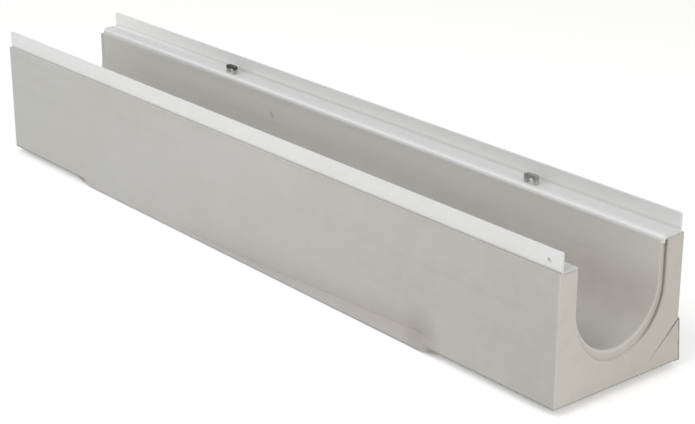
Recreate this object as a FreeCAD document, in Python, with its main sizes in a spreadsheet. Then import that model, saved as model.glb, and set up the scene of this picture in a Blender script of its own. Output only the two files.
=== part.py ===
import math
import os

import FreeCAD
import Part
import Sketcher
from FreeCAD import Placement, Rotation, Vector

# Concrete channel drain, one metre long, with two cast-in steel edge rails and four lock keeps.
# X runs along the channel, Y across it and Z up. The origin is the middle of the base plinth's underside.

doc = FreeCAD.newDocument("channel_drain")

# ---------------------------------------------------------------- driving dimensions (mm)

SIZES = [
    # concrete body
    ("body_length", 1000.0),
    ("body_width", 170.0),
    ("seat_height", 146.0),       # underside of the plinth to the top of the ledge that carries the grating
    ("skin_height", 1.0),         # top of the concrete outside the rail, above the rail's underside
    ("base_arris", 2.0),
    ("end_arris", 1.5),
    ("end_rise", 8.0),            # how far the underside of both ends is lifted off the plinth's level
    ("end_base_length", 156.0),
    ("end_ramp_length", 38.0),
    # trough
    ("channel_radius", 57.0),
    ("floor_height", 46.0),
    # joint with the next channel
    ("socket_shoulder", 5.0),
    ("socket_drop", 5.0),         # the socket's round part sits this much lower than the trough's
    ("mouth_arris", 2.0),
    ("socket_depth", 4.0),
    ("tongue_length", 3.0),
    ("joint_clearance", 1.0),
    # shallow scoop low in each side wall: at four stations its place along the wall, the height where
    # it leaves the wall, the height of its deepest line, and its depth there
    ("scoop_edge", 5.0),          # height of its lower edge on the wall, the same all along
    ("scoop_outside", 2.0),       # how far the cutter stands out of the wall
    ("scoop_start_at", -140.0),
    ("scoop_start_top", 12.0),
    ("scoop_start_low", 6.0),
    ("scoop_start_depth", 0.05),
    ("scoop_middle_at", 40.0),
    ("scoop_middle_top", 36.0),
    ("scoop_middle_low", 7.5),
    ("scoop_middle_depth", 3.5),
    ("scoop_deep_at", 300.0),
    ("scoop_deep_top", 50.0),
    ("scoop_deep_low", 18.0),
    ("scoop_deep_depth", 5.0),
    ("scoop_end_at", 336.0),
    ("scoop_end_top", 42.0),
    ("scoop_end_low", 18.0),
    ("scoop_end_depth", 0.05),
    # corner foot on the socket end, and the scored line that runs down from its top across the end
    ("foot_height", 47.0),
    ("foot_step", 1.5),           # out of the wall at the top
    ("foot_flare", 5.5),          # out of the wall at the bottom
    ("foot_back", 15.0),
    ("score_width", 3.5),
    ("score_depth", 1.5),
    ("score_reach", 45.0),
    ("score_end_height", 7.0),
    # edge rails
    ("rail_sheet", 3.0),
    ("rail_inset", 3.0),
    ("rail_setback", 1.5),        # both ends of the rail, in from the ends of the body
    ("rail_rise", 18.5),          # leg above the ledge
    ("ledge_reach", 25.0),        # outer face of the leg to the nose
    ("bend_radius", 4.0),         # outside of the bend under the leg
    ("nose_radius", 6.0),         # outside of the bend at the nose
    ("lip_depth", 8.0),
    ("leg_corner", 1.5),
    ("ledge_corner", 6.0),
    ("anchor_width", 30.0),
    ("anchor_depth", 28.0),
    ("anchor_inset", 14.0),       # outer face of the wall to the middle of the anchor
    ("anchor_pitch", 260.0),
    ("end_hole_diameter", 5.0),
    ("end_hole_from_end", 17.0),
    ("end_hole_above_ledge", 7.0),
    # lock keeps
    ("keep_length", 17.0),
    ("keep_rise", 10.0),
    ("keep_depth", 5.0),
    ("keep_bar", 3.5),
    ("keep_corner", 2.0),
    ("keep_from_leg", 11.0),      # inner face of the leg to the back of the keep
    ("keep_first_from_end", 187.0),
    ("keep_second_from_end", 710.0),
]

sheet = doc.addObject("Spreadsheet::Sheet", "Sizes")
for row, (alias, value) in enumerate(SIZES, start=1):
    sheet.set(f"A{row}", alias)
    sheet.set(f"B{row}", str(value))
    sheet.setAlias(f"B{row}", alias)
doc.recompute()

# Places that several pieces share, each written once as an expression of the sheet's cells.
HALF_LENGTH = "Sizes.body_length / 2"
WALL = "Sizes.body_width / 2"
LEDGE_TOP = "Sizes.seat_height"
LEDGE_UNDER = "(Sizes.seat_height - Sizes.rail_sheet)"
LEG_OUTER = "(Sizes.body_width / 2 - Sizes.rail_inset)"
LEG_INNER = "(Sizes.body_width / 2 - Sizes.rail_inset - Sizes.rail_sheet)"
RAIL_TOP = "(Sizes.seat_height + Sizes.rail_rise)"
NOSE = "(Sizes.body_width / 2 - Sizes.rail_inset - Sizes.ledge_reach)"
LIP_BACK = "(Sizes.body_width / 2 - Sizes.rail_inset - Sizes.ledge_reach + Sizes.rail_sheet)"
LIP_BOTTOM = "(Sizes.seat_height - Sizes.lip_depth)"
INNER_BEND = "(Sizes.bend_radius - Sizes.rail_sheet)"
INNER_NOSE = "(Sizes.nose_radius - Sizes.rail_sheet)"
RAIL_END = "(Sizes.body_length / 2 - Sizes.rail_setback)"
AXIS_HEIGHT = "(Sizes.floor_height + Sizes.channel_radius)"
SOCKET_RADIUS = "(Sizes.channel_radius + Sizes.socket_shoulder)"
SOCKET_AXIS = "(Sizes.floor_height + Sizes.channel_radius - Sizes.socket_drop)"
SOCKET_FLOOR = "(Sizes.body_length / 2 - Sizes.socket_depth)"
TONGUE_RADIUS = "(Sizes.channel_radius + Sizes.socket_shoulder - Sizes.joint_clearance)"
SKIN_TOP = "(Sizes.seat_height - Sizes.rail_sheet + Sizes.skin_height)"
SKIN_ON_BEND = ("(Sizes.body_width / 2 - Sizes.rail_inset - Sizes.bend_radius"
                " + sqrt(Sizes.bend_radius^2 - (Sizes.bend_radius - Sizes.skin_height)^2))")

# ---------------------------------------------------------------- helpers

probe = doc.addObject("App::FeaturePython", "Probe")
probe.addProperty("App::PropertyFloat", "Reading")


def number(expression):
    """Value in mm of an expression of the sheet's cells."""
    probe.setExpression("Reading", expression)
    probe.recompute()
    return probe.Reading


def new_body(label):
    body = doc.addObject("PartDesign::Body", label)
    body.Label = label
    return body


def origin_plane(body, role):
    return next(item for item in body.Origin.OriginFeatures if item.Role == role)


def new_sketch(body, name, role, offset="0"):
    """Sketch on one of the body's origin planes, moved along the plane's normal by an expression."""
    sketch = body.newObject("Sketcher::SketchObject", name)
    sketch.AttachmentSupport = [(origin_plane(body, role), "")]
    sketch.MapMode = "FlatFace"
    if offset != "0":
        sketch.AttachmentOffset = Placement(Vector(0, 0, number(offset)), Rotation())
        sketch.setExpression("AttachmentOffset.Base.z", offset)
    return sketch


def pin(sketch, edge, end, across, up):
    """Hold one point of a sketch at two expressions, measured from the sketch's origin."""
    for kind, axis, expression in (("DistanceX", -2, across), ("DistanceY", -1, up)):
        if expression == "0":
            sketch.addConstraint(Sketcher.Constraint("PointOnObject", edge, end, axis))
            continue
        index = sketch.addConstraint(
            Sketcher.Constraint(kind, -1, 1, edge, end, number(expression)))
        sketch.setExpression(f"Constraints[{index}]", expression)


def outline(sketch, corners):
    """Closed outline through corners (across, up); a third item (centre_across, centre_up, turn)
    makes the edge that leaves the corner an arc, with turn +1 anticlockwise and -1 clockwise."""
    count = len(corners)
    points = [Vector(number(corner[0]), number(corner[1]), 0) for corner in corners]
    first = sketch.GeometryCount
    ends = []
    for place, corner in enumerate(corners):
        start, stop = points[place], points[(place + 1) % count]
        if len(corner) == 2:
            sketch.addGeometry(Part.LineSegment(start, stop), False)
            ends.append((1, 2))
            continue
        centre_across, centre_up, turn = corner[2]
        centre = Vector(number(centre_across), number(centre_up), 0)
        low, high = (start, stop) if turn > 0 else (stop, start)
        whole = Part.Circle(centre, Vector(0, 0, 1), centre.distanceToPoint(start))
        arc = Part.ArcOfCircle(whole, whole.parameter(low), whole.parameter(high))
        edge = sketch.addGeometry(arc, False)
        ends.append((1, 2) if turn > 0 else (2, 1))
        index = sketch.addConstraint(
            Sketcher.Constraint("DistanceY", -1, 1, edge, 3, number(centre_up)))
        sketch.setExpression(f"Constraints[{index}]", centre_up)
    for place, corner in enumerate(corners):
        before = (place - 1) % count
        sketch.addConstraint(Sketcher.Constraint(
            "Coincident", first + before, ends[before][1], first + place, ends[place][0]))
        pin(sketch, first + place, ends[place][0], corner[0], corner[1])


def rectangle(sketch, across, up, width, height):
    """Rectangle about a middle point, all four given as expressions."""
    left, right = f"{across} - {width} / 2", f"{across} + {width} / 2"
    low, high = f"{up} - {height} / 2", f"{up} + {height} / 2"
    outline(sketch, [(left, low), (right, low), (right, high), (left, high)])


def anchor_outlines(sketch, side):
    """One rail's four anchors seen from above, as the rail folds them and as the concrete holds them."""
    for step in (-1.5, -0.5, 0.5, 1.5):
        rectangle(sketch, f"{step} * Sizes.anchor_pitch", f"{side}({WALL} - Sizes.anchor_inset)",
                  "Sizes.anchor_width", "Sizes.rail_sheet")


def circle(sketch, across, up, radius):
    edge = sketch.addGeometry(Part.Circle(Vector(number(across), number(up), 0), Vector(0, 0, 1),
                                          number(radius)), False)
    index = sketch.addConstraint(Sketcher.Constraint("Radius", edge, number(radius)))
    sketch.setExpression(f"Constraints[{index}]", radius)
    pin(sketch, edge, 3, across, up)


def feature(body, kind, name, sketch, length, middle=False, backwards=False):
    """Pad or pocket of a sketch, with its length given as an expression."""
    item = body.newObject(kind, name)
    item.Profile = sketch
    item.Length = number(length)
    item.setExpression("Length", length)
    item.Midplane = middle
    item.Reversed = backwards
    doc.recompute()
    return item


def straight_edges(shape, along, test):
    """Names of the straight edges in one direction whose two ends both pass a test."""
    names = []
    for place, edge in enumerate(shape.Edges, start=1):
        if not isinstance(edge.Curve, Part.Line) or abs(edge.Curve.Direction.dot(along)) < 0.99:
            continue
        if all(test(vertex.Point) for vertex in edge.Vertexes):
            names.append(f"Edge{place}")
    return names


def rounded_edges(body, name, names, radius):
    """Fillet on edges of the body's last feature."""
    last = body.Tip
    item = body.newObject("PartDesign::Fillet", name)
    item.Base = (last, names)
    item.Radius = number(radius)
    item.setExpression("Radius", radius)
    doc.recompute()
    return item


# ---------------------------------------------------------------- concrete body


def rail_seat(sign):
    """Half of the body's top, from the skin outside the rail's leg in to the trough's wall."""
    side = "" if sign > 0 else "-"
    return [
        (f"{side}{WALL}", SKIN_TOP),
        (f"{side}{SKIN_ON_BEND}", SKIN_TOP),
        (f"{side}({LEG_OUTER} - Sizes.bend_radius)", LEDGE_UNDER),
        (f"{side}({LIP_BACK} + {INNER_NOSE})", LEDGE_UNDER),
        (f"{side}{LIP_BACK}", f"{LEDGE_UNDER} - {INNER_NOSE}"),
        (f"{side}{LIP_BACK}", LIP_BOTTOM),
        (f"{side}Sizes.channel_radius", LIP_BOTTOM),
        (f"{side}Sizes.channel_radius", AXIS_HEIGHT),
    ]


def body_section():
    """The body's whole section, anticlockwise from the base, with its arcs."""
    right, left = rail_seat(1), rail_seat(-1)
    leg_across, leg_up = f"{LEG_OUTER} - Sizes.bend_radius", f"{LEDGE_UNDER} + Sizes.bend_radius"
    lip_across, lip_up = f"{LIP_BACK} + {INNER_NOSE}", f"{LEDGE_UNDER} - {INNER_NOSE}"
    right[1] += ((leg_across, leg_up, -1),)
    right[3] += ((lip_across, lip_up, 1),)
    right[7] += (("0", AXIS_HEIGHT, -1),)
    left.reverse()
    left[3] += ((f"-({lip_across})", lip_up, 1),)
    left[5] += ((f"-({leg_across})", leg_up, -1),)
    arris = "Sizes.base_arris"
    return [(f"-{WALL}", arris), (f"-({WALL} - {arris})", "0"), (f"{WALL} - {arris}", "0"),
            (WALL, arris)] + right + left


def scoop_ring(body, station):
    """Section of the scoop in the near wall: an arc that leaves the wall without a crease, and a shelf."""
    top, low, depth = (f"Sizes.scoop_{station}_{part}" for part in ("top", "low", "depth"))
    radius = f"((({top} - {low})^2 + {depth}^2) / (2 * {depth}))"
    outside = f"-({WALL} + Sizes.scoop_outside)"
    ring = new_sketch(body, f"Scoop{station.title()}", "YZ_Plane", f"Sizes.scoop_{station}_at")
    outline(ring, [
        (f"-{WALL}", top, (f"-{WALL} + {radius}", top, 1)),
        (f"-({WALL} - {depth})", low),
        (outside, "Sizes.scoop_edge"),
        (outside, top),
    ])
    return ring


def channel_body():
    """Concrete trough: section padded, ends lifted, joint cut, side scoops cut, rails let in."""
    body = new_body("channel_body")

    section = new_sketch(body, "BodySection", "YZ_Plane")
    outline(section, body_section())
    feature(body, "PartDesign::Pad", "BodyPad", section, "Sizes.body_length", middle=True)

    lifted = new_sketch(body, "LiftedEnds", "XZ_Plane")
    for side in ("", "-"):
        outline(lifted, [
            (f"{side}({HALF_LENGTH})", "0"),
            (f"{side}({HALF_LENGTH})", "Sizes.end_rise"),
            (f"{side}({HALF_LENGTH} - Sizes.end_base_length)", "Sizes.end_rise"),
            (f"{side}({HALF_LENGTH} - Sizes.end_base_length - Sizes.end_ramp_length)", "0"),
        ])
    ends_cut = feature(body, "PartDesign::Pocket", "EndsCut", lifted, "2 * Sizes.body_width", middle=True)

    end, wall = number(HALF_LENGTH), number(WALL)

    def at_end_corner(point):
        return abs(abs(point.x) - end) < 0.01 and abs(abs(point.y) - wall) < 0.01

    arrises = straight_edges(ends_cut.Shape, Vector(0, 0, 1), at_end_corner)
    arrises += straight_edges(ends_cut.Shape, Vector(0, 1, 0), at_end_corner)
    rounded_edges(body, "EndArrises", arrises, "Sizes.end_arris")

    socket = new_sketch(body, "SocketOutline", "YZ_Plane", HALF_LENGTH)
    outline(socket, [
        (SOCKET_RADIUS, LEDGE_UNDER),
        (f"-{SOCKET_RADIUS}", LEDGE_UNDER),
        (f"-{SOCKET_RADIUS}", SOCKET_AXIS, ("0", SOCKET_AXIS, 1)),
        (SOCKET_RADIUS, SOCKET_AXIS),
    ])
    cut = feature(body, "PartDesign::Pocket", "Socket", socket, "Sizes.socket_depth")
    mouth_x, bore, axis = number(SOCKET_FLOOR), number("Sizes.channel_radius"), number(AXIS_HEIGHT)

    def at_mouth(point):
        out = math.hypot(point.y, min(point.z - axis, 0))
        return abs(point.x - mouth_x) < 0.01 and abs(out - bore) < 0.01

    mouth = [f"Edge{place}" for place, edge in enumerate(cut.Shape.Edges, start=1)
             if all(at_mouth(vertex.Point) for vertex in edge.Vertexes)
             and abs(edge.CenterOfMass.x - mouth_x) < 0.01]
    rounded_edges(body, "MouthArris", mouth, "Sizes.mouth_arris")

    tongue = new_sketch(body, "TongueOutline", "YZ_Plane", f"-({HALF_LENGTH})")
    outline(tongue, [
        ("Sizes.channel_radius", LIP_BOTTOM),
        ("Sizes.channel_radius", AXIS_HEIGHT, ("0", AXIS_HEIGHT, -1)),
        ("-Sizes.channel_radius", AXIS_HEIGHT),
        ("-Sizes.channel_radius", LIP_BOTTOM),
        (f"-{TONGUE_RADIUS}", LIP_BOTTOM),
        (f"-{TONGUE_RADIUS}", AXIS_HEIGHT, ("0", AXIS_HEIGHT, 1)),
        (TONGUE_RADIUS, AXIS_HEIGHT),
        (TONGUE_RADIUS, LIP_BOTTOM),
    ])
    feature(body, "PartDesign::Pad", "Tongue", tongue, "Sizes.tongue_length", backwards=True)

    foot = new_sketch(body, "CornerFoot", "YZ_Plane", HALF_LENGTH)
    foot_top = "(Sizes.end_rise + Sizes.foot_height)"
    outline(foot, [
        (f"{WALL} - Sizes.end_arris", "Sizes.end_rise"),
        (f"{WALL} + Sizes.foot_flare", "Sizes.end_rise"),
        (f"{WALL} + Sizes.foot_step", foot_top),
        (f"{WALL} - Sizes.end_arris", foot_top),
    ])
    feature(body, "PartDesign::Pad", "FootPad", foot, "Sizes.foot_back", backwards=True)

    score = new_sketch(body, "EndScore", "YZ_Plane", HALF_LENGTH)
    outline(score, [
        (f"{WALL} + Sizes.foot_flare", f"{foot_top} + Sizes.foot_flare"),
        (f"{WALL} - Sizes.score_reach", "Sizes.end_rise + Sizes.score_end_height"),
        (f"{WALL} + Sizes.foot_flare", f"{foot_top} + Sizes.foot_flare - Sizes.score_width"),
    ])
    feature(body, "PartDesign::Pocket", "ScoreCut", score, "Sizes.score_depth")

    rings = [scoop_ring(body, station) for station in ("start", "middle", "deep", "end")]
    scoop = body.newObject("PartDesign::SubtractiveLoft", "SideScoop")
    scoop.Profile = rings[0]
    scoop.Sections = [(ring, "") for ring in rings[1:]]
    scoop.Ruled = True
    doc.recompute()
    facing = body.newObject("PartDesign::Mirrored", "FacingScoop")
    facing.Originals = [scoop]
    facing.MirrorPlane = (origin_plane(body, "XZ_Plane"), "")
    body.Tip = facing
    doc.recompute()

    slots = new_sketch(body, "AnchorSlots", "XY_Plane", LEDGE_UNDER)
    for side in ("", "-"):
        anchor_outlines(slots, side)
    feature(body, "PartDesign::Pocket", "AnchorPockets", slots, "Sizes.anchor_depth")
    return body


# ---------------------------------------------------------------- edge rails


def edge_rail(label, side, with_hole):
    """Folded steel rail: upright leg, ledge for the grating and rounded nose, with cast-in anchors."""
    body = new_body(label)
    sign = "" if side > 0 else "-"

    def turn(across, up, direction):
        return f"{sign}({across})", up, direction * side

    corners = [
        (LEG_OUTER, RAIL_TOP),
        (LEG_INNER, RAIL_TOP),
        (LEG_INNER, f"{LEDGE_TOP} + {INNER_BEND}",
         turn(f"{LEG_INNER} - {INNER_BEND}", f"{LEDGE_TOP} + {INNER_BEND}", -1)),
        (f"{LEG_INNER} - {INNER_BEND}", LEDGE_TOP),
        (f"{NOSE} + Sizes.nose_radius", LEDGE_TOP,
         turn(f"{NOSE} + Sizes.nose_radius", f"{LEDGE_TOP} - Sizes.nose_radius", 1)),
        (NOSE, f"{LEDGE_TOP} - Sizes.nose_radius"),
        (NOSE, LIP_BOTTOM),
        (LIP_BACK, LIP_BOTTOM),
        (LIP_BACK, f"{LEDGE_UNDER} - {INNER_NOSE}",
         turn(f"{LIP_BACK} + {INNER_NOSE}", f"{LEDGE_UNDER} - {INNER_NOSE}", -1)),
        (f"{LIP_BACK} + {INNER_NOSE}", LEDGE_UNDER),
        (f"{LEG_OUTER} - Sizes.bend_radius", LEDGE_UNDER,
         turn(f"{LEG_OUTER} - Sizes.bend_radius", f"{LEDGE_UNDER} + Sizes.bend_radius", 1)),
        (LEG_OUTER, f"{LEDGE_UNDER} + Sizes.bend_radius"),
    ]
    section = new_sketch(body, f"{label}_section", "YZ_Plane")
    outline(section, [(f"{sign}({corner[0]})",) + corner[1:] for corner in corners])
    feature(body, "PartDesign::Pad", f"{label}_fold", section, f"2 * {RAIL_END}", middle=True)

    trimmed = new_sketch(body, f"{label}_ledge_corners", "XY_Plane", LEDGE_TOP)
    inner, outer = f"{sign}({NOSE} - Sizes.ledge_corner)", f"{sign}({NOSE} + Sizes.ledge_corner)"
    for end in (1, -1):
        flip = "" if end > 0 else "-"
        start = f"{flip}({RAIL_END} - Sizes.ledge_corner)"
        stop = f"{flip}({RAIL_END} + Sizes.ledge_corner)"
        outline(trimmed, [
            (start, f"{sign}({NOSE})", (start, outer, end * side)),
            (f"{flip}{RAIL_END}", outer),
            (stop, outer),
            (stop, inner),
            (start, inner),
        ])
    feature(body, "PartDesign::Pocket", f"{label}_ledge_trim", trimmed, "Sizes.lip_depth")

    anchors = new_sketch(body, f"{label}_anchors", "XY_Plane", LEDGE_UNDER)
    anchor_outlines(anchors, sign)
    feature(body, "PartDesign::Pad", f"{label}_anchor_pads", anchors, "Sizes.anchor_depth", backwards=True)

    if with_hole:
        drilled = new_sketch(body, f"{label}_end_hole", "XZ_Plane")
        circle(drilled, f"{HALF_LENGTH} - Sizes.end_hole_from_end",
               f"{LEDGE_TOP} + Sizes.end_hole_above_ledge", "Sizes.end_hole_diameter / 2")
        feature(body, "PartDesign::Pocket", f"{label}_drilled", drilled, "2 * Sizes.body_width", middle=True)

    end, top = number(RAIL_END), number(RAIL_TOP)

    def at_top_corner(point):
        return abs(abs(point.x) - end) < 0.01 and abs(point.z - top) < 0.01

    corners = straight_edges(body.Tip.Shape, Vector(0, 1, 0), at_top_corner)
    rounded_edges(body, f"{label}_leg_corners", corners, "Sizes.leg_corner")
    return body


# ---------------------------------------------------------------- lock keeps


def lock_keep(label, side, from_end):
    """Small steel bridge that stands on the ledge; the grating's latch snaps under its bar."""
    body = new_body(label)
    back = f"({LEG_INNER} - Sizes.keep_from_leg)"
    offset = f"-{back}" if side > 0 else f"{back} - Sizes.keep_depth"
    middle = f"({HALF_LENGTH} - Sizes.{from_end})"
    left, right = f"{middle} - Sizes.keep_length / 2", f"{middle} + Sizes.keep_length / 2"
    top = f"({LEDGE_TOP} + Sizes.keep_rise)"
    corner, bar = "Sizes.keep_corner", "Sizes.keep_bar"
    face = new_sketch(body, f"{label}_face", "XZ_Plane", offset)
    outline(face, [
        (left, LEDGE_TOP),
        (f"{left} + {bar}", LEDGE_TOP),
        (f"{left} + {bar}", f"{top} - {bar}"),
        (f"{right} - {bar}", f"{top} - {bar}"),
        (f"{right} - {bar}", LEDGE_TOP),
        (right, LEDGE_TOP),
        (right, f"{top} - {corner}", (f"{right} - {corner}", f"{top} - {corner}", 1)),
        (f"{right} - {corner}", top),
        (f"{left} + {corner}", top, (f"{left} + {corner}", f"{top} - {corner}", 1)),
        (left, f"{top} - {corner}"),
    ])
    feature(body, "PartDesign::Pad", f"{label}_bridge", face, "Sizes.keep_depth")
    return body


# ---------------------------------------------------------------- build, check, export

nodes = [
    channel_body(),
    edge_rail("edge_rail_near", -1, with_hole=True),
    edge_rail("edge_rail_far", 1, with_hole=False),
    lock_keep("lock_keep_near_1", -1, "keep_first_from_end"),
    lock_keep("lock_keep_near_2", -1, "keep_second_from_end"),
    lock_keep("lock_keep_far_1", 1, "keep_first_from_end"),
    lock_keep("lock_keep_far_2", 1, "keep_second_from_end"),
]
doc.removeObject(probe.Name)
doc.recompute()

for item in doc.Objects:
    if "Invalid" in item.State or "Error" in item.State:
        raise RuntimeError(f"{item.Name} failed: {item.State}")

os.makedirs("parts", exist_ok=True)
for node in nodes:
    shape = node.Shape
    if shape.isNull() or not shape.isValid() or len(shape.Solids) != 1:
        raise RuntimeError(f"{node.Label} is not one valid solid")
    shape.exportStep(f"parts/{node.Label}.step")
    box = shape.optimalBoundingBox(False)
    print(f"{node.Label}: {shape.Volume / 1000:.1f} cm3, X {box.XMin:.2f}..{box.XMax:.2f}, "
          f"Y {box.YMin:.2f}..{box.YMax:.2f}, Z {box.ZMin:.2f}..{box.ZMax:.2f}")
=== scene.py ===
import math

import bpy
from mathutils import Euler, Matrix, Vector


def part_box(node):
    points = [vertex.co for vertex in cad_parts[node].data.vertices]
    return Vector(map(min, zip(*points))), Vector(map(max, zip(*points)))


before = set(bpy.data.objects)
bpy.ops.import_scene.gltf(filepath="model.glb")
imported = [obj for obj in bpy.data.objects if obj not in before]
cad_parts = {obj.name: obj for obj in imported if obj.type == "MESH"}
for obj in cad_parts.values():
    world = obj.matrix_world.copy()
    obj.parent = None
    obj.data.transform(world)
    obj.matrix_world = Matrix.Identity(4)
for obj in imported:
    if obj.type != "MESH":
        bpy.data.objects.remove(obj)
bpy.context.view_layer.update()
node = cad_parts


# ---- Channel body -----------------------------------------------------------------------
# One casting of fine grey polymer concrete, poured upside down round a steel trough core.
# It has a cement-smooth skin, a few pin holes where air stayed, and painted shade in its joint recess.

CONCRETE_COOL = (0.520, 0.516, 0.500, 1)
CONCRETE_WARM = (0.506, 0.492, 0.466, 1)
# Warm tone painted on the end faces for the warm light that falls on them.
CONCRETE_END_WARM_LIGHT = (0.560, 0.524, 0.470, 1)
CONCRETE_PALE = (0.640, 0.622, 0.585, 1)
CONCRETE_GREENISH = (0.555, 0.562, 0.545, 1)
# Dark concrete for sand speckle and run marks, also used as painted shade on the sides, in the trough and
# in the recesses.
CONCRETE_DARK_AND_SHADE = (0.335, 0.307, 0.270, 1)
# Grime for the scar, also used as painted shade in the socket's step, the score and along the lower
# arrises.
CONCRETE_GRIME_AND_SHADE = (0.205, 0.192, 0.165, 1)
PIN_HOLE = (0.250, 0.236, 0.215, 1)

body_low, body_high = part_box("channel_body")
LENGTH_END = body_high[0]
HALF_WIDTH = -body_low[1]
TROUGH_RADIUS = 0.057
TROUGH_AXIS = 0.103
SOCKET_RADIUS = 0.062
SOCKET_AXIS = 0.098
SOCKET_FLOOR = 0.496


def add(tree, kind, sockets=None, **settings):
    """Adds one shader node, sets its settings, and fills each socket with a value or a link."""
    made = tree.nodes.new("ShaderNode" + kind)
    for name, value in settings.items():
        setattr(made, name, value)
    for socket, value in (sockets or {}).items():
        if isinstance(value, bpy.types.NodeSocket):
            tree.links.new(value, made.inputs[socket])
        else:
            made.inputs[socket].default_value = value
    return made


def step(tree, operation, first, second=0.0):
    """One arithmetic step on two numbers."""
    return add(tree, "Math", {0: first, 1: second}, operation=operation).outputs[0]


def product(tree, *shares):
    """Several shares multiplied together."""
    result = shares[0]
    for share in shares[1:]:
        result = step(tree, "MULTIPLY", result, share)
    return result


def fade(tree, value, start, end, low=0.0, high=1.0):
    """A soft step: low up to start, high from end on, and a smooth S between them."""
    sockets = {"Value": value, "From Min": start, "From Max": end, "To Min": low, "To Max": high}
    return add(tree, "MapRange", sockets, interpolation_type="SMOOTHSTEP").outputs[0]


def coat(tree, share, under, over, blend_type="MIX"):
    """One colour laid over another by a share from 0 to 1."""
    sockets = {0: share, 6: under, 7: over}
    return add(tree, "Mix", sockets, data_type="RGBA", blend_type=blend_type).outputs[2]


def grain(tree, place, scale, detail=2.0, roughness=0.5):
    """Noise of one size: the scale is how many of its lumps lie in a metre."""
    sockets = {"Vector": place, "Scale": scale, "Detail": detail, "Roughness": roughness}
    return add(tree, "TexNoise", sockets).outputs["Fac"]


def stretched(tree, place, scale):
    """The place squeezed along each axis, for marks that run one way."""
    return add(tree, "Mapping", {"Vector": place, "Scale": scale}).outputs[0]


def spot(tree, place, centre, reach):
    """1 at a centre and 0 at the edge of an ellipsoid with the given half widths."""
    sockets = {"Vector": place, "Location": [-c / r for c, r in zip(centre, reach)],
               "Scale": [1 / r for r in reach]}
    local = add(tree, "Mapping", sockets, vector_type="POINT").outputs[0]
    far = add(tree, "VectorMath", {0: local}, operation="LENGTH").outputs["Value"]
    return fade(tree, far, 1.0, 0.0)


def out_from(tree, axes, axis_height):
    """Distance out from a U-shaped trough's middle: level above its axis, and round it below."""
    below = step(tree, "MINIMUM", step(tree, "SUBTRACT", axes[2], axis_height), 0.0)
    flat = add(tree, "CombineXYZ", {0: 0.0, 1: axes[1], 2: below}).outputs[0]
    return add(tree, "VectorMath", {0: flat}, operation="LENGTH").outputs["Value"]


def beyond_line(tree, axes, start, end):
    """Distance of a point in the end face to the left of a line through two (across, up) places."""
    across, up = end[0] - start[0], end[1] - start[1]
    length = math.hypot(across, up)
    left = (0.0, -up / length, across / length)
    place = add(tree, "CombineXYZ", {0: 0.0, 1: axes[1], 2: axes[2]}).outputs[0]
    along_left = add(tree, "VectorMath", {0: place, 1: left}, operation="DOT_PRODUCT").outputs["Value"]
    return step(tree, "SUBTRACT", along_left, left[1] * start[0] + left[2] * start[1])


def new_material(name):
    """An empty material: its node tree, its main shader and the place that its patterns follow."""
    material = bpy.data.materials.new(name)
    material.use_nodes = True
    tree = material.node_tree
    shader = tree.nodes["Principled BSDF"]
    place = add(tree, "TexCoord").outputs["Object"]
    return material, tree, shader, place


# Where the painted shade, the scar and the lines on the casting lie, in metres along, across and up, and
# how far each one reaches.
LOW_MIDDLE, LOW_MIDDLE_REACH = (0.060, 0.0, 0.010), (0.340, 0.300, 0.055)
RECESS_END_SHADE, RECESS_END_SHADE_REACH = (0.314, -0.085, 0.017), (0.036, 0.030, 0.042)
SCAR, SCAR_REACH = (-0.118, 0.057, 0.116), (0.009, 0.006, 0.008)
SCORE_LINE = (0.040, 0.015), (0.0905, 0.0588)
FOOT_EDGE = (0.0905, 0.008), (0.0865, 0.055)


def skin_tones_and_low_shade(tree, place, axes, clouds):
    """Soft clouds of two greys, darker to the socket, paler and greener to the tongue, painted shade low
    on the sides.
    """
    along = axes[0]
    colour = coat(tree, fade(tree, clouds, 0.35, 0.65), CONCRETE_COOL, CONCRETE_WARM)
    darker = product(tree, fade(tree, along, 0.05, 0.50), fade(tree, clouds, 0.2, 0.7, 0.16, 0.34))
    colour = coat(tree, darker, colour, CONCRETE_DARK_AND_SHADE)
    colour = coat(tree, fade(tree, along, -0.15, -0.48, 0.0, 0.55), colour, CONCRETE_GREENISH)
    # Painted shade low along the middle of the sides, where the lower wall turns down away from the light.
    low_middle = spot(tree, place, LOW_MIDDLE, LOW_MIDDLE_REACH)
    return coat(tree, product(tree, low_middle, 0.16), colour, CONCRETE_DARK_AND_SHADE)


def warm_lit_ends(tree, axes, colour):
    """The open ends and the socket's shoulder: painted warm light, paler to the near side, a painted
    highlight on the shoulder's near side and a darker far part.
    """
    along, across, up = axes
    ends = fade(tree, step(tree, "ABSOLUTE", along), LENGTH_END - 0.0006, LENGTH_END - 0.0001)
    in_socket = product(tree, fade(tree, along, SOCKET_FLOOR - 0.0012, SOCKET_FLOOR - 0.0002),
                        fade(tree, out_from(tree, axes, SOCKET_AXIS), SOCKET_RADIUS + 0.0010,
                             SOCKET_RADIUS + 0.0004))
    # Warm light painted on the end faces and the socket's shoulder.
    colour = coat(tree, step(tree, "MAXIMUM", ends, in_socket), colour, CONCRETE_END_WARM_LIGHT)
    # Paler towards the near side of the end face.
    paler_to_near = product(tree, ends, fade(tree, across, 0.03, -0.07, 0.0, 0.38))
    colour = coat(tree, paler_to_near, colour, CONCRETE_PALE)
    # Painted highlight on the near side and bottom of the socket's shoulder, where it catches the light.
    shoulder_light = product(tree, in_socket, fade(tree, across, 0.050, -0.010, 0.0, 0.40))
    colour = coat(tree, shoulder_light, colour, CONCRETE_PALE)
    far_shoulder = product(tree, in_socket, fade(tree, across, 0.030, 0.056, 0.0, 0.16))
    return coat(tree, far_shoulder, colour, CONCRETE_DARK_AND_SHADE)


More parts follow.
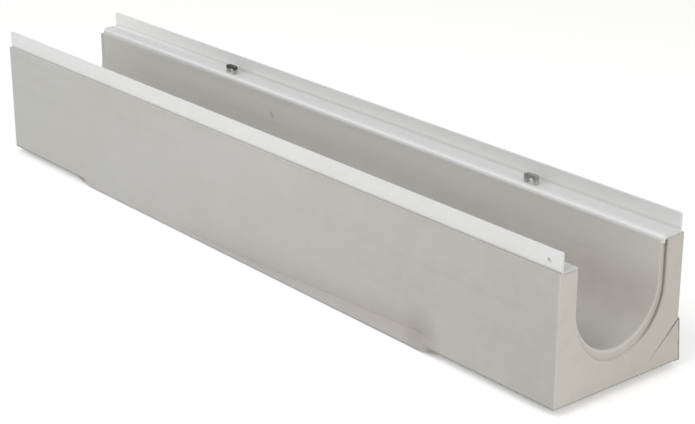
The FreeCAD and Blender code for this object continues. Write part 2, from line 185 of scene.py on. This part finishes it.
def trough_tones(tree, axes, clouds, colour):
    """Inside the trough, painted light on the upper walls and painted shade lower down, stronger towards
    the socket.
    """
    along, across, up = axes
    trough = product(tree, fade(tree, out_from(tree, axes, TROUGH_AXIS), TROUGH_RADIUS + 0.0006,
                                TROUGH_RADIUS + 0.0002),
                     fade(tree, step(tree, "ABSOLUTE", along), SOCKET_FLOOR, SOCKET_FLOOR - 0.001))
    wavy_height = step(tree, "ADD", up, product(tree, step(tree, "SUBTRACT", clouds, 0.5), 0.030))
    # Painted light on the upper walls of the trough.
    high_wall_light = product(tree, trough, fade(tree, wavy_height, 0.085, 0.125))
    colour = coat(tree, product(tree, high_wall_light, 0.62), colour, CONCRETE_PALE)
    # Painted shade lower on the trough walls.
    low_wall_shade = product(tree, trough, fade(tree, wavy_height, 0.110, 0.082), fade(tree, wavy_height, 0.046, 0.072),
                  fade(tree, along, 0.05, 0.30, 0.16, 0.34))
    return coat(tree, low_wall_shade, colour, CONCRETE_DARK_AND_SHADE)


def recess_shade_and_scar(tree, place, axes, colour):
    """Painted shade at the steep end of the near side recess, and one diagonal scar in the trough."""
    ragged = fade(tree, grain(tree, place, 34.0, 4.0), 0.25, 0.70, 0.45, 1.0)
    # Painted shade at the steep end of the recess, which faces away from the light.
    recess_end_shade = product(tree, spot(tree, place, RECESS_END_SHADE, RECESS_END_SHADE_REACH), ragged, 0.85)
    colour = coat(tree, recess_end_shade, colour, CONCRETE_DARK_AND_SHADE)
    scar_line = step(tree, "ABSOLUTE", step(tree, "ADD", step(tree, "SUBTRACT", axes[0], SCAR[0]),
                                            step(tree, "SUBTRACT", axes[2], SCAR[2])))
    scar = product(tree, spot(tree, place, SCAR, SCAR_REACH), fade(tree, scar_line, 0.0050, 0.0005))
    return coat(tree, product(tree, scar, 0.5), colour, CONCRETE_GRIME_AND_SHADE)


def corner_shade_lines(tree, axes, beside, colour):
    """Painted shade in the socket's step, thickest up the far wall, in the score and along the lower
    arrises, and a darker strip along the foot's edge.
    """
    along, across, up = axes
    # Painted shade in the socket's step, where its riser lies in shadow.
    step_edge = step(tree, "SUBTRACT", out_from(tree, axes, SOCKET_AXIS), SOCKET_RADIUS)
    step_shade = product(tree, fade(tree, step(tree, "ABSOLUTE", step_edge), 0.0008, 0.0003),
                     fade(tree, along, SOCKET_FLOOR - 0.0010, SOCKET_FLOOR - 0.0002),
                     fade(tree, along, LENGTH_END - 0.0004, LENGTH_END - 0.0026),
                     fade(tree, across, 0.018, 0.056))
    colour = coat(tree, product(tree, step_shade, 0.80), colour, CONCRETE_GRIME_AND_SHADE)

    on_end = fade(tree, along, LENGTH_END - 0.0030, LENGTH_END - 0.0020)
    # Painted shade in the score's groove.
    score = step(tree, "ABSOLUTE", beyond_line(tree, axes, *SCORE_LINE))
    score = product(tree, fade(tree, score, 0.0024, 0.0006), on_end,
                    fade(tree, across, 0.046, 0.080, 0.0, 0.12))
    colour = coat(tree, score, colour, CONCRETE_GRIME_AND_SHADE)
    # A darker strip along the foot's outer edge.
    foot_edge = beyond_line(tree, axes, *FOOT_EDGE)
    foot_edge = product(tree, fade(tree, foot_edge, 0.0032, 0.0012), on_end, fade(tree, up, 0.058, 0.053))
    colour = coat(tree, product(tree, foot_edge, 0.75), colour, CONCRETE_GRIME_AND_SHADE)

    # The underside stands higher at both ends than at the plinth, so the line is at two heights.
    # Painted shade along the lower arrises, which face down away from the light.
    on_side = fade(tree, beside, 0.0765, 0.0785)
    raised = product(tree, fade(tree, step(tree, "ABSOLUTE", along), 0.318, 0.330), on_side)
    raised_line = product(tree, fade(tree, up, 0.0105, 0.0088), step(tree, "MAXIMUM", on_end, raised))
    plinth_line = product(tree, fade(tree, up, 0.0030, 0.0018), on_side)
    low_edges = step(tree, "MAXIMUM", raised_line, plinth_line)
    return coat(tree, product(tree, low_edges, 0.60), colour, CONCRETE_GRIME_AND_SHADE)


def shaded_shelf(tree, axes, beside, colour):
    """The shelf of each side recess faces up, and painted shade dulls it to the tone of the wall."""
    facing = add(tree, "SeparateXYZ", {0: add(tree, "TexCoord").outputs["Normal"]}).outputs
    # Painted shade on the up-facing shelf, picked out by its normal.
    shelf = product(tree, fade(tree, facing[2], 0.15, 0.60), fade(tree, axes[2], 0.060, 0.045),
                    fade(tree, beside, 0.070, 0.075), fade(tree, axes[0], -0.10, 0.20, 0.28, 0.36))
    return coat(tree, shelf, colour, CONCRETE_DARK_AND_SHADE)


def pale_corners_and_lip_light(tree, place, axes, beside, colour):
    """Paler edges down the four corners, and a painted highlight round the trough's mouth, where its
    rounded arris faces up to the light.
    """
    along, across, up = axes
    side = fade(tree, beside, HALF_WIDTH - 0.0022, HALF_WIDTH - 0.0002)
    end = fade(tree, step(tree, "ABSOLUTE", along), LENGTH_END - 0.0028, LENGTH_END - 0.0004)
    pale_corners = product(tree, side, end, fade(tree, grain(tree, place, 90.0, 3.0), 0.3, 0.6, 0.0, 0.25))
    colour = coat(tree, pale_corners, colour, CONCRETE_PALE)
    # Painted highlight on the rounded arris round the trough's mouth.
    lip = step(tree, "SUBTRACT", out_from(tree, axes, TROUGH_AXIS), TROUGH_RADIUS)
    lip = product(tree, fade(tree, step(tree, "ABSOLUTE", lip), 0.0040, 0.0022),
                  fade(tree, along, SOCKET_FLOOR - 0.0035, SOCKET_FLOOR - 0.0015),
                  fade(tree, along, SOCKET_FLOOR + 0.0012, SOCKET_FLOOR + 0.0004),
                  fade(tree, across, 0.055, -0.010, 0.0, 0.45))
    return coat(tree, lip, colour, CONCRETE_PALE)


def pin_holes(tree, place):
    """1 in scattered pits about a millimetre wide: the middles of cells, thinned out by cell."""
    cells = add(tree, "TexVoronoi", {"Vector": place, "Scale": 105.0}, feature="F1")
    pit = fade(tree, cells.outputs["Distance"], 0.080, 0.045)
    cell_number = add(tree, "SeparateColor", {0: cells.outputs["Color"]}).outputs[0]
    return product(tree, pit, fade(tree, cell_number, 0.90, 0.93))


def cast_concrete():
    """Smooth cast concrete: soft clouds, sand grain, pin holes, a scar, and painted light and shade on the
    trough, ends and edges.
    """
    material, tree, shader, place = new_material("cast_concrete")
    axes = add(tree, "SeparateXYZ", {0: place}).outputs
    beside = step(tree, "ABSOLUTE", axes[1])
    clouds = grain(tree, place, 5.5, 4.0, 0.55)
    colour = skin_tones_and_low_shade(tree, place, axes, clouds)
    colour = warm_lit_ends(tree, axes, colour)
    colour = trough_tones(tree, axes, clouds, colour)

    # Larger pale mottles, the fine speckle of the sand, and faint run marks along the mould.
    mottle = grain(tree, place, 48.0, 6.0, 0.6)
    colour = coat(tree, fade(tree, mottle, 0.30, 0.70, 0.0, 0.14), colour, CONCRETE_PALE)
    sand = grain(tree, place, 950.0, 3.0, 0.65)
    colour = coat(tree, fade(tree, sand, 0.40, 0.72, 0.0, 0.10), colour, CONCRETE_DARK_AND_SHADE)
    streaks = grain(tree, stretched(tree, place, (1.4, 60.0, 60.0)), 1.0, 3.0, 0.5)
    colour = coat(tree, fade(tree, streaks, 0.52, 0.75, 0.0, 0.10), colour, CONCRETE_DARK_AND_SHADE)

    colour = recess_shade_and_scar(tree, place, axes, colour)
    colour = corner_shade_lines(tree, axes, beside, colour)
    colour = shaded_shelf(tree, axes, beside, colour)
    colour = pale_corners_and_lip_light(tree, place, axes, beside, colour)
    pit = pin_holes(tree, place)
    colour = coat(tree, product(tree, pit, 0.55), colour, PIN_HOLE)

    skin = step(tree, "SUBTRACT", sand, product(tree, pit, 3.0))
    relief = add(tree, "Bump", {"Strength": 0.35, "Distance": 0.00025, "Height": skin})
    swell = add(tree, "Bump", {"Strength": 0.5, "Distance": 0.0012, "Height": grain(tree, place, 9.0, 2.0),
                               "Normal": relief.outputs[0]})
    tree.links.new(colour, shader.inputs["Base Color"])
    tree.links.new(fade(tree, mottle, 0.3, 0.7, 0.72, 0.86), shader.inputs["Roughness"])
    tree.links.new(swell.outputs[0], shader.inputs["Normal"])
    shader.inputs["Specular IOR Level"].default_value = 0.28
    return material


def give(part, material):
    """The part wears one material."""
    part.data.materials.clear()
    part.data.materials.append(material)


give(node["channel_body"], cast_concrete())


# ---- Edge rails -------------------------------------------------------------------------
# Two folded angles of 3 mm galvanised sheet, one along each lip, cast into the concrete.
# The zinc has weathered to a matt pale grey, with a soft spangle still showing through.

ZINC_PALE = (0.770, 0.772, 0.770, 1)
# Painted light for the heel of the bend and the far left leg.
ZINC_LIT = (0.930, 0.930, 0.925, 1)
ZINC_DULL = (0.650, 0.653, 0.652, 1)
# Painted shade for the fold, under the nose and one patch at the near end.
ZINC_SHADE = (0.480, 0.478, 0.455, 1)

LEDGE_TOP = 0.146
LEG_INSIDE = 0.079
# Where the painted shade on the near ledge's end lies.
SHADED_PATCH, SHADED_PATCH_REACH = (0.492, -0.068, 0.146), (0.022, 0.020, 0.006)


def zinc_light_and_shade(tree, place, axes, bloom, colour):
    """A darker ledge, painted shade in the fold, under the nose and on one patch at the near end, and
    painted light on the heel and the far left leg.
    """
    along, across, up = axes
    beside = step(tree, "ABSOLUTE", across)
    ledge = product(tree, fade(tree, up, LEDGE_TOP + 0.0045, LEDGE_TOP + 0.0028),
                    fade(tree, beside, 0.0588, 0.0600),
                    fade(tree, beside, LEG_INSIDE + 0.0010, LEG_INSIDE + 0.0003))
    colour = coat(tree, product(tree, ledge, 0.80), colour, ZINC_DULL)
    # Painted light on the heel of the bend, which faces down away from the light.
    heel = product(tree, fade(tree, up, LEDGE_TOP + 0.0004, LEDGE_TOP - 0.0010),
                   fade(tree, beside, LEG_INSIDE + 0.0007, LEG_INSIDE + 0.0013))
    colour = coat(tree, product(tree, heel, 0.6), colour, ZINC_LIT)
    # Painted shade in the fold between ledge and leg.
    fold = product(tree, fade(tree, up, LEDGE_TOP + 0.0055, LEDGE_TOP + 0.0035),
                   fade(tree, beside, LEG_INSIDE - 0.0020, LEG_INSIDE - 0.0008),
                   fade(tree, beside, LEG_INSIDE + 0.0010, LEG_INSIDE + 0.0003))
    colour = coat(tree, product(tree, fold, 0.28), colour, ZINC_SHADE)
    # Painted light on the far rail's left leg.
    far_left = product(tree, fade(tree, along, -0.15, -0.50), fade(tree, across, 0.070, 0.078))
    colour = coat(tree, product(tree, far_left, 0.45), colour, ZINC_LIT)
    # Painted shade under the nose.
    under_nose = product(tree, fade(tree, up, LEDGE_TOP - 0.0020, LEDGE_TOP - 0.0030),
                         fade(tree, beside, 0.0600, 0.0585))
    colour = coat(tree, product(tree, under_nose, 0.45), colour, ZINC_SHADE)
    # Painted shade on the end of the near ledge, which lies in shadow.
    patch_shade = product(tree, spot(tree, place, SHADED_PATCH, SHADED_PATCH_REACH),
                     fade(tree, bloom, 0.3, 0.6, 0.5, 1.0))
    return coat(tree, patch_shade, colour, ZINC_SHADE)


def galvanised_sheet():
    """Hot dip zinc: crystal spangle a few millimetres wide, rolling streaks and a dull bloom."""
    material, tree, shader, place = new_material("galvanised_sheet")
    axes = add(tree, "SeparateXYZ", {0: place}).outputs
    sway = add(tree, "VectorMath", {0: grain(tree, place, 160.0, 2.0), 1: (0.004, 0.004, 0.004)},
               operation="MULTIPLY").outputs[0]
    bent = add(tree, "VectorMath", {0: place, 1: sway}, operation="ADD").outputs[0]
    cells = add(tree, "TexVoronoi", {"Vector": bent, "Scale": 150.0}, feature="F1")
    crystal = add(tree, "SeparateColor", {0: cells.outputs["Color"]}).outputs[0]
    bloom = grain(tree, place, 11.0, 5.0, 0.6)
    streaks = grain(tree, stretched(tree, place, (3.0, 260.0, 260.0)), 1.0, 3.0)
    colour = coat(tree, fade(tree, crystal, 0.0, 1.0, 0.0, 0.12), ZINC_PALE, ZINC_DULL)
    colour = coat(tree, fade(tree, bloom, 0.40, 0.70, 0.0, 0.16), colour, ZINC_DULL)
    colour = coat(tree, fade(tree, streaks, 0.50, 0.80, 0.0, 0.14), colour, ZINC_DULL)
    colour = coat(tree, fade(tree, axes[0], -0.10, 0.45, 0.0, 0.45), colour, ZINC_DULL)
    colour = zinc_light_and_shade(tree, place, axes, bloom, colour)

    ripple = add(tree, "Bump", {"Strength": 0.12, "Distance": 0.0004, "Height": bloom})
    tree.links.new(colour, shader.inputs["Base Color"])
    tree.links.new(fade(tree, crystal, 0.0, 1.0, 0.50, 0.60), shader.inputs["Roughness"])
    tree.links.new(ripple.outputs[0], shader.inputs["Normal"])
    shader.inputs["Metallic"].default_value = 0.25
    shader.inputs["Specular IOR Level"].default_value = 0.30
    return material


zinc = galvanised_sheet()
give(node["edge_rail_near"], zinc)
give(node["edge_rail_far"], zinc)


# ---- Lock keeps -------------------------------------------------------------------------
# Four small bridges of blackened steel on the ledges, which a grating's latch snaps under.
# They are punched from strip. The pair near the socket end is grey.

BLACKENED = (0.028, 0.026, 0.025, 1)
WORN_STEEL = (0.300, 0.292, 0.276, 1)
BRIGHT_STEEL = (0.520, 0.515, 0.500, 1)


def blackened_steel():
    """Dark oxide on strip steel, worn grey in patches, grey towards the socket end, bright on the legs."""
    material, tree, shader, place = new_material("blackened_steel")
    axes = add(tree, "SeparateXYZ", {0: place}).outputs
    wear = grain(tree, place, 420.0, 5.0, 0.6)
    patches = fade(tree, wear, 0.42, 0.70, 0.0, 0.45)
    to_socket = fade(tree, axes[0], 0.0, 0.1, 0.0, 0.90)
    colour = coat(tree, step(tree, "MAXIMUM", patches, to_socket), BLACKENED, WORN_STEEL)
    legs = product(tree, fade(tree, axes[2], 0.1530, 0.1495), fade(tree, wear, 0.35, 0.65, 0.65, 0.9))
    colour = coat(tree, legs, colour, BRIGHT_STEEL)
    tree.links.new(colour, shader.inputs["Base Color"])
    tree.links.new(fade(tree, wear, 0.3, 0.7, 0.62, 0.46), shader.inputs["Roughness"])
    relief = add(tree, "Bump", {"Strength": 0.4, "Distance": 0.0002, "Height": wear})
    tree.links.new(relief.outputs[0], shader.inputs["Normal"])
    shader.inputs["Metallic"].default_value = 0.35
    return material


black = blackened_steel()
for name in sorted(node):
    if name.startswith("lock_keep"):
        give(node[name], black)


# ---- Floor, light and camera ------------------------------------------------------------
# A plain pale studio floor that takes the drain's shadow, a white surround, and soft lamps.

scene = bpy.context.scene
scene.view_settings.view_transform = "Standard"

FLOOR_REACH = 30.0
FLOOR_PALE = (0.82, 0.82, 0.81, 1)


def studio_floor():
    """A matt pale floor. Seen by the camera it is lifted to white, and its shadows stay."""
    mesh = bpy.data.meshes.new("studio_floor")
    corners = [(-FLOOR_REACH, -FLOOR_REACH, 0), (FLOOR_REACH, -FLOOR_REACH, 0),
               (FLOOR_REACH, FLOOR_REACH, 0), (-FLOOR_REACH, FLOOR_REACH, 0)]
    mesh.from_pydata(corners, [], [(0, 1, 2, 3)])
    floor = bpy.data.objects.new("studio_floor", mesh)
    scene.collection.objects.link(floor)
    material, tree, shader, _ = new_material("studio_floor")
    shader.inputs["Base Color"].default_value = FLOOR_PALE
    shader.inputs["Roughness"].default_value = 0.95
    shader.inputs["Specular IOR Level"].default_value = 0.0
    light_path = add(tree, "LightPath")
    seen = step(tree, "MAXIMUM", light_path.outputs["Is Camera Ray"], light_path.outputs["Is Glossy Ray"])
    seen = step(tree, "MAXIMUM", seen, light_path.outputs["Is Transmission Ray"])
    shader.inputs["Emission Color"].default_value = (1, 1, 1, 1)
    tree.links.new(step(tree, "MULTIPLY", seen, 0.35), shader.inputs["Emission Strength"])
    mesh.materials.append(material)


studio_floor()

world = bpy.data.worlds.new("studio")
world.use_nodes = True
scene.world = world
air = world.node_tree
background = air.nodes["Background"]
background.inputs["Color"].default_value = (1, 1, 1, 1)
light_path = add(air, "LightPath")
seen = step(air, "MAXIMUM", light_path.outputs["Is Camera Ray"], light_path.outputs["Is Glossy Ray"])
seen = step(air, "MAXIMUM", seen, light_path.outputs["Is Transmission Ray"])
air.links.new(fade(air, seen, 0.0, 1.0, 0.55, 1.0), background.inputs["Strength"])


def soft_lamp(name, azimuth, elevation, distance, size, power, colour=(1, 1, 1)):
    """A square lamp that faces the drain's middle from a compass angle, a height angle and a distance."""
    light = bpy.data.lights.new(name, "AREA")
    light.size = size
    light.energy = power
    light.color = colour
    lamp = bpy.data.objects.new(name, light)
    turn = Euler((math.radians(90 - elevation), 0, math.radians(azimuth)))
    lamp.rotation_euler = turn
    lamp.location = Vector((0, 0, 0.08)) - turn.to_matrix() @ Vector((0, 0, -distance))
    scene.collection.objects.link(lamp)


soft_lamp("front_lamp", 5, 48, 3.2, 2.2, 45)
soft_lamp("end_lamp", 80, 30, 3.2, 2.2, 25, (1.0, 0.985, 0.955))

CAMERA_AZIMUTH = 50.60
CAMERA_ELEVATION = 20.76
CAMERA_DISTANCE = 2.0
CAMERA_AIM = (0.0456, 0.0413, 0.0419)

camera_data = bpy.data.cameras.new("camera")
camera_data.lens = 90.12
camera_data.sensor_width = 36.0
camera = bpy.data.objects.new("camera", camera_data)
view_turn = Euler((math.radians(90 - CAMERA_ELEVATION), 0, math.radians(CAMERA_AZIMUTH)))
camera.rotation_euler = view_turn
camera.location = Vector(CAMERA_AIM) - view_turn.to_matrix() @ Vector((0, 0, -CAMERA_DISTANCE))
scene.collection.objects.link(camera)
scene.camera = camera
